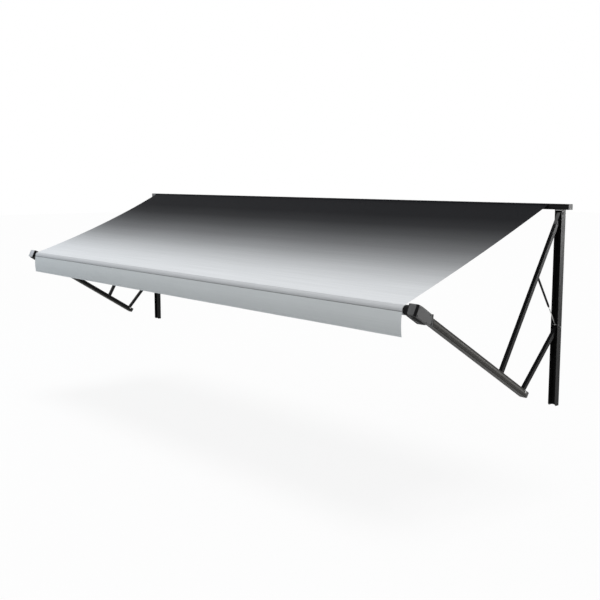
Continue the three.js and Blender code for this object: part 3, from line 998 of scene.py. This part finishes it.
class AWNING_OT_channels(bpy.types.Operator):
    """Makes the wall channels with their pivot bolts and strut pins."""

    bl_idname = "awning.channels"
    bl_label = "Wall Channels"
    shank_radius = 0.005
    head_radius = 0.009
    head_height = 0.005

    def execute(self, context):
        for side in SIDES:
            dressed(f"wall_channel_{side}", channel_paint(), metal().edge * 0.6)
            self.pivot_bolt(f"upper_pivot_bolt_{side}")
            self.pivot_bolt(f"lower_pivot_bolt_{side}")
            dressed(f"strut_foot_pin_{side}", dark_steel(), edge=0.0005)
        return {"FINISHED"}

    def pivot_bolt(self, node):
        """A through bolt along X with a head at each end."""
        centre = middle(node)
        half = Vector(((high(node).x - low(node).x) / 2 - self.head_height, 0.0, 0.0))
        steps = [(1.0, self.shank_radius)]
        shank = turned_rod(node + "_shank", centre - half, centre + half, steps, sides=32)
        heads = [bolt_head(f"{node}_head_{index}", centre + half * way, way, self.head_radius,
                           self.head_height) for index, way in enumerate((1.0, -1.0))]
        bolt = merge(node + "_finished", shank, *heads)
        stands_for(bolt, node)
        wear(bolt, dark_steel())


class AWNING_OT_arms(bpy.types.Operator):
    """Makes the links, the head arms, their sliders, caps and bolts."""

    bl_idname = "awning.arms"
    bl_label = "Arms"
    rib_start = 0.172
    rib_end = 1.532
    arm_half_width = 0.0341
    arm_front = -0.0266
    side_ribs = (0.0225, -0.0085, -0.0125)
    front_ribs = (-0.014, 0.0, 0.014)
    rib_section = (0.0008, 0.0014)
    band_middle = 0.0045
    band_section = (0.0024, 0.016)
    guide_section = (0.0016, 0.029)
    plate_size = (0.031, 0.11, 0.0012)
    plate_front = 0.0164

    def execute(self, context):
        for side in SIDES:
            for node in ("upper_link", "lower_link"):
                dressed(f"{node}_{side}", link_paint(), metal().edge)
            self.end_plate(side)
            dressed(f"head_arm_{side}", arm_paint(), metal().edge * 0.6)
            self.ribs(side)
            dressed(f"arm_end_cap_{side}", housing_plastic(), edge=0.0015, segments=3)
            dressed(f"arm_slider_{side}", plug_plastic(), edge=0.0012)
            for node in ("slider_pin", "strut_stud", "foot_bolt_outer", "foot_bolt_inner"):
                dressed(f"{node}_{side}", steel(), edge=0.0006)
        return {"FINISHED"}

    def end_plate(self, side):
        """A grey plate on the front of the upper link's wall end."""
        wall_end = middle(f"upper_pivot_bolt_{side}")
        along = middle(f"slider_pin_{side}") - wall_end
        along.x = 0.0
        along.normalize()
        front = Vector((0.0, along.z, -along.y))
        centre = wall_end + along * (self.plate_size[1] / 2) + front * self.plate_front
        plate = slab(f"link_end_plate_{side}", self.plate_size, centre, edge=0.0004, slope=along)
        rides_with(plate, f"upper_link_{side}", plate_paint())

    def line(self, name, side, section, outward_by, across, edge, material):
        """A raised line along a head arm. section is its size outward and across."""
        long = self.rib_end - self.rib_start
        rib = slab(name, (section[0], long, section[1]),
                   at_arm(side, outward_by, (self.rib_start + self.rib_end) / 2, across), edge, DOWN_ARM)
        rides_with(rib, f"head_arm_{side}", material)

    def ribs(self, side):
        """Raised lines of the extruded arm on its outer, inner and front faces."""
        for face, outward_by in (("outer", self.arm_half_width), ("inner", -self.arm_half_width)):
            for index, across in enumerate(self.side_ribs):
                self.line(f"arm_rib_{side}_{face}_{index}", side, self.rib_section, outward_by, across,
                          edge=0.0003, material=arm_paint())
        # The band is a real raised shape; its lighter enamel is a painted highlight
        self.line(f"arm_band_{side}", side, self.band_section, self.arm_half_width, self.band_middle,
                  edge=0.0011, material=band_highlight_paint())
        self.line(f"arm_guide_{side}", side, self.guide_section, -self.arm_half_width, self.band_middle,
                  edge=0.0005, material=plug_plastic())
        for index, offset in enumerate(self.front_ribs):
            self.line(f"arm_front_rib_{side}_{index}", side, self.rib_section[::-1], offset, self.arm_front,
                      edge=0.0003, material=arm_paint())


class AWNING_OT_struts(bpy.types.Operator):
    """Makes the gas struts, round and smooth, with their eyes and gland."""

    bl_idname = "awning.struts"
    bl_label = "Gas Struts"
    cylinder_steps = ((0.03, 0.0078), (0.035, 0.009), (0.955, 0.009), (1.0, 0.0065))
    cylinder_eye_radius = 0.0078
    cylinder_gap = 0.006
    gland_inset = 0.002
    ring_radius = 0.0062
    ring_out = 0.004
    ring_in = 0.003
    rod_radius = 0.004
    rod_eye_radius = 0.008
    rod_gap = 0.007
    hidden_rod = 0.12
    eye_half_width = 0.005

    def execute(self, context):
        for side in SIDES:
            body, rod = f"strut_cylinder_{side}", f"strut_rod_{side}"
            foot = middle(f"strut_foot_pin_{side}")
            top = middle(f"strut_stud_{side}")
            top.x = foot.x
            axis = (top - foot).normalized()
            gland = foot + axis * ((low(body).z - foot.z) / axis.z + self.gland_inset)
            cylinder = turned_rod(body + "_body", gland, top - axis * self.cylinder_gap, self.cylinder_steps,
                                  sides=56)
            self.join_eye(body, cylinder, top, self.cylinder_eye_radius, link_paint())
            ring_ends = (gland - axis * self.ring_out, gland + axis * self.ring_in)
            ring = turned_rod(f"strut_gland_{side}", *ring_ends, [(1.0, self.ring_radius)], sides=40)
            rides_with(ring, body, steel())
            inner_end = gland + axis * min(self.hidden_rod, (top - gland).length / 2)
            shaft = turned_rod(rod + "_shaft", foot + axis * self.rod_gap, inner_end,
                               [(1.0, self.rod_radius)], sides=40)
            self.join_eye(rod, shaft, foot, self.rod_eye_radius, steel())
        return {"FINISHED"}

    def join_eye(self, node, bar, place, radius, material):
        """Joins an eye to a strut's bar, which then stands for the node."""
        half = Vector((self.eye_half_width, 0.0, 0.0))
        eye = turned_rod(node + "_eye", place - half, place + half, [(1.0, radius)], sides=40, edge=0.0012)
        finished = merge(node + "_finished", bar, eye)
        stands_for(finished, node)
        wear(finished, material)


class AWNING_OT_heads(bpy.types.Operator):
    """Makes the head housings with rim, black corner rods, screws and underside fittings, and the brackets inside.
    """

    bl_idname = "awning.heads"
    bl_label = "Head Housings"
    half_width = 0.0475
    underside = -0.057
    screw_sink = 0.0004
    screw_places = ((-0.098, 0.026), (-0.088, -0.040), (0.022, -0.040), (0.030, 0.022))
    dark_corner_radius = 0.0128
    dark_corner_out = 0.001
    dark_corner_top = (-0.0585, 0.0355)
    dark_corner_foot = (-0.0480, -0.0520)
    # Each block's size, its place outward, down the arm and across it, and its edge
    rim = ((2 * half_width + 0.003, 0.084, 0.012), (0.0, 0.141, 0.0065), 0.003)
    # Blocks of painted light on the left head's front and outer side
    painted_light_front = ((0.100, 0.086, 0.005), (0.020, -0.0565, -0.0095), 0.0015)
    painted_light_outer = ((0.024, 0.096, 0.084), (0.0595, -0.010, -0.006), 0.006)
    panel = ((0.078, 0.136, 0.003), (0.0, 0.028, underside - 0.0012), 0.0012)
    lever = ((0.011, 0.040, 0.0045), (0.0, 0.052, underside - 0.0042), 0.0016)
    vent_size = (0.036, 0.0022, 0.0012)
    vent_start = -0.024
    vent_pitch = 0.006
    vent_drop = 0.0028
    vent_count = 4
    # Directions down the arm and across it
    rim_slope = (33.0, -73.5)
    painted_light_slope = (-12.0, 95.0)
    cover_steps = ((0.72, 0.0165), (0.74, 0.0125), (1.0, 0.0118))
    cover_sink = 0.001
    cover_height = 0.0042

    def execute(self, context):
        for side, way in SIDES.items():
            housing = f"head_cover_outer_{side}"
            for node in (housing, f"head_cover_inner_{side}"):
                dressed(node, housing_plastic(), edge=0.0016, segments=3)
            dressed(f"head_bracket_{side}", cap_plastic(), edge=0.001)
            for index, (along, across) in enumerate(self.screw_places[:plastic().screw_count]):
                place = at_arm(side, self.half_width - self.screw_sink, -along, across)
                pan_screw(f"head_screw_{side}_{index}", housing, place, way, plug_plastic())
            # The raised rim around the slanted end, where the arm enters
            self.block(f"head_rim_{side}", side, *self.rim, housing_plastic(), beside_arm(*self.rim_slope))
            self.dark_corners(side)
            # Only the left head gets the light grey blocks of painted light
            if side == "left":
                self.painted_light_trim(side)
            self.fittings(side)
        return {"FINISHED"}

    def block(self, name, side, size, place, edge, material, slope=DOWN_ARM):
        """A block on a housing."""
        rides_with(slab(name, size, at_arm(side, *place), edge, slope), f"head_cover_outer_{side}", material)

    def dark_corners(self, side):
        """Black rods along the rounded front corners, darker than the housing."""
        radius = self.dark_corner_radius
        for name, outward_by in (("outer", self.half_width - radius), ("inner", radius - self.half_width)):
            ends = [at_arm(side, outward_by, radius + down, across)
                    for down, across in (self.dark_corner_top, self.dark_corner_foot)]
            steps = [(1.0, radius + self.dark_corner_out)]
            corner_rod = turned_rod(f"head_guard_{side}_{name}", *ends, steps, edge=0.002)
            rides_with(corner_rod, f"head_cover_outer_{side}", plug_plastic())

    def painted_light_trim(self, side):
        """Light grey blocks on a head's front and outer side: painted light on the faces lit from the front left.
        """
        slant = beside_arm(*self.painted_light_slope)
        self.block(f"head_trim_{side}_front", side, *self.painted_light_front, trim_plastic(), slant)
        self.block(f"head_trim_{side}_outer", side, *self.painted_light_outer, trim_plastic())

    def fittings(self, side):
        """Panel, round cover, release lever and vents under the housing."""
        self.block(f"head_panel_{side}", side, *self.panel, plug_plastic())
        centre = at_arm(side, 0.0, 0.0, self.underside)
        ends = (centre + ACROSS_ARM * self.cover_sink, centre - ACROSS_ARM * self.cover_height)
        cover = turned_rod(f"head_round_cover_{side}", *ends, self.cover_steps, sides=56, edge=0.0006)
        rides_with(cover, f"head_cover_outer_{side}", plug_plastic())
        self.block(f"head_lever_{side}", side, *self.lever, cap_plastic())
        for index in range(self.vent_count):
            place = (0.0, self.vent_start - self.vent_pitch * index, self.underside - self.vent_drop)
            self.block(f"head_vent_{side}_{index}", side, self.vent_size, place, edge=0.0004,
                       material=housing_plastic())


def seen_rays(tree):
    """1 for the rays of camera, gloss and glass, 0 for all others."""
    path = add(tree, "ShaderNodeLightPath")
    return arithmetic(tree, "MAXIMUM", path.outputs["Is Camera Ray"], arithmetic(
        tree, "MAXIMUM", path.outputs["Is Glossy Ray"], path.outputs["Is Transmission Ray"]))


def blend(tree, seen, value, seen_value):
    """seen_value for the rays that are seen, value for all others."""
    return arithmetic(tree, "ADD", arithmetic(tree, "MULTIPLY", seen, seen_value - value), value)


def lamp(name, kind, power, way, **settings):
    """A lamp that shines from the direction way."""
    data = bpy.data.lights.new(name, kind)
    data.energy = power
    for key, value in settings.items():
        setattr(data, key, value)
    obj = bpy.data.objects.new(name, data)
    bpy.context.scene.collection.objects.link(obj)
    obj.rotation_euler = turn_to(way)
    return obj


class AWNING_OT_stage(bpy.types.Operator):
    """Sets the pale floor, the soft light and the camera."""

    bl_idname = "awning.stage"
    bl_label = "Stage"
    floor_size = 120.0
    floor_glow = 0.88
    floor_bounce = 0.55
    floor_seen = 0.95
    sun_way = (0.25, -0.15, 0.95)
    rim_way = (0.56, 0.83, -0.05)
    side_place = (-7.6, -5.6, 1.6)
    side_target = (-2.8, -1.6, -0.8)

    def execute(self, context):
        scene = context.scene
        stage = scene.awning_stage
        bpy.ops.mesh.primitive_plane_add(size=self.floor_size, location=(0.0, 0.0, stage.floor_height))
        floor = settle(named("floor"))
        wear(floor, self.floor_paint())
        self.light(scene, stage)
        camera = bpy.data.objects.new("camera", bpy.data.cameras.new("camera"))
        scene.collection.objects.link(camera)
        camera.data.lens = stage.lens
        camera.data.sensor_width = 36.0
        camera.data.clip_end = 200.0
        camera.location = stage.place
        camera.rotation_euler = (math.pi / 2 - stage.pitch, 0.0, stage.turn)
        scene.camera = camera
        scene.view_settings.view_transform = "Standard"
        return {"FINISHED"}

    def floor_paint(self):
        """A floor that looks white, and throws less light back than it shows."""
        material = bpy.data.materials.new("floor_paint")
        material.use_nodes = True
        tree = material.node_tree
        tree.nodes.clear()
        out = add(tree, "ShaderNodeOutputMaterial")
        matt = add(tree, "ShaderNodeBsdfDiffuse")
        glow = add(tree, "ShaderNodeEmission")
        mix = add(tree, "ShaderNodeMixShader")
        seen = seen_rays(tree)
        tree.links.new(arithmetic(tree, "MULTIPLY", seen, self.floor_glow), mix.inputs["Fac"])
        tree.links.new(blend(tree, seen, self.floor_bounce, self.floor_seen), matt.inputs["Color"])
        tree.links.new(matt.outputs[0], mix.inputs[1])
        tree.links.new(glow.outputs[0], mix.inputs[2])
        tree.links.new(mix.outputs[0], out.inputs["Surface"])
        return material

    def light(self, scene, stage):
        """A sky that looks white and lights less, two distant lamps and one near lamp."""
        world = bpy.data.worlds.new("studio")
        scene.world = world
        world.use_nodes = True
        tree = world.node_tree
        sky = tree.nodes["Background"]
        sky.inputs["Color"].default_value = (1.0, 1.0, 1.0, 1.0)
        tree.links.new(blend(tree, seen_rays(tree), stage.sky, 1.0), sky.inputs["Strength"])
        lamp("sun", "SUN", stage.sun, self.sun_way, angle=math.radians(25.0))
        lamp("rim", "SUN", stage.rim, self.rim_way, angle=math.radians(14.0))
        place = Vector(self.side_place)
        side = lamp("side", "AREA", stage.side, place - Vector(self.side_target), size=3.5,
                    color=(0.5, 0.74, 1.0))
        side.location = place


STEPS = (AWNING_OT_stage, AWNING_OT_rail, AWNING_OT_channels, AWNING_OT_arms, AWNING_OT_struts,
         AWNING_OT_heads, AWNING_OT_roller, AWNING_OT_valance, AWNING_OT_canopy)

GROUPS = {
    "awning_fabric": AwningFabric, "awning_metal": AwningMetal, "awning_plastic": AwningPlastic,
    "awning_stage": AwningStage,
}


class AWNING_PT_panel(bpy.types.Panel):
    """Lists the steps and the sizes in the sidebar."""

    bl_label = "Awning"
    bl_idname = "AWNING_PT_panel"
    bl_space_type = "VIEW_3D"
    bl_region_type = "UI"
    bl_category = "Awning"

    def draw(self, context):
        for step in STEPS:
            self.layout.operator(step.bl_idname)
        for group in (getattr(context.scene, name) for name in GROUPS):
            for name in group.bl_rna.properties.keys():
                if name not in ("name", "rna_type"):
                    self.layout.prop(group, name)


def register():
    for group in (*GROUPS.values(), *STEPS, AWNING_PT_panel):
        bpy.utils.register_class(group)
    for name, group in GROUPS.items():
        setattr(bpy.types.Scene, name, PointerProperty(type=group))


def unregister():
    for name in GROUPS:
        delattr(bpy.types.Scene, name)
    for group in (AWNING_PT_panel, *reversed(STEPS), *GROUPS.values()):
        bpy.utils.unregister_class(group)


def main():
    register()
    for step in STEPS:
        family, name = step.bl_idname.split(".")
        getattr(getattr(bpy.ops, family), name)()


if __name__ == "__main__":
    main()
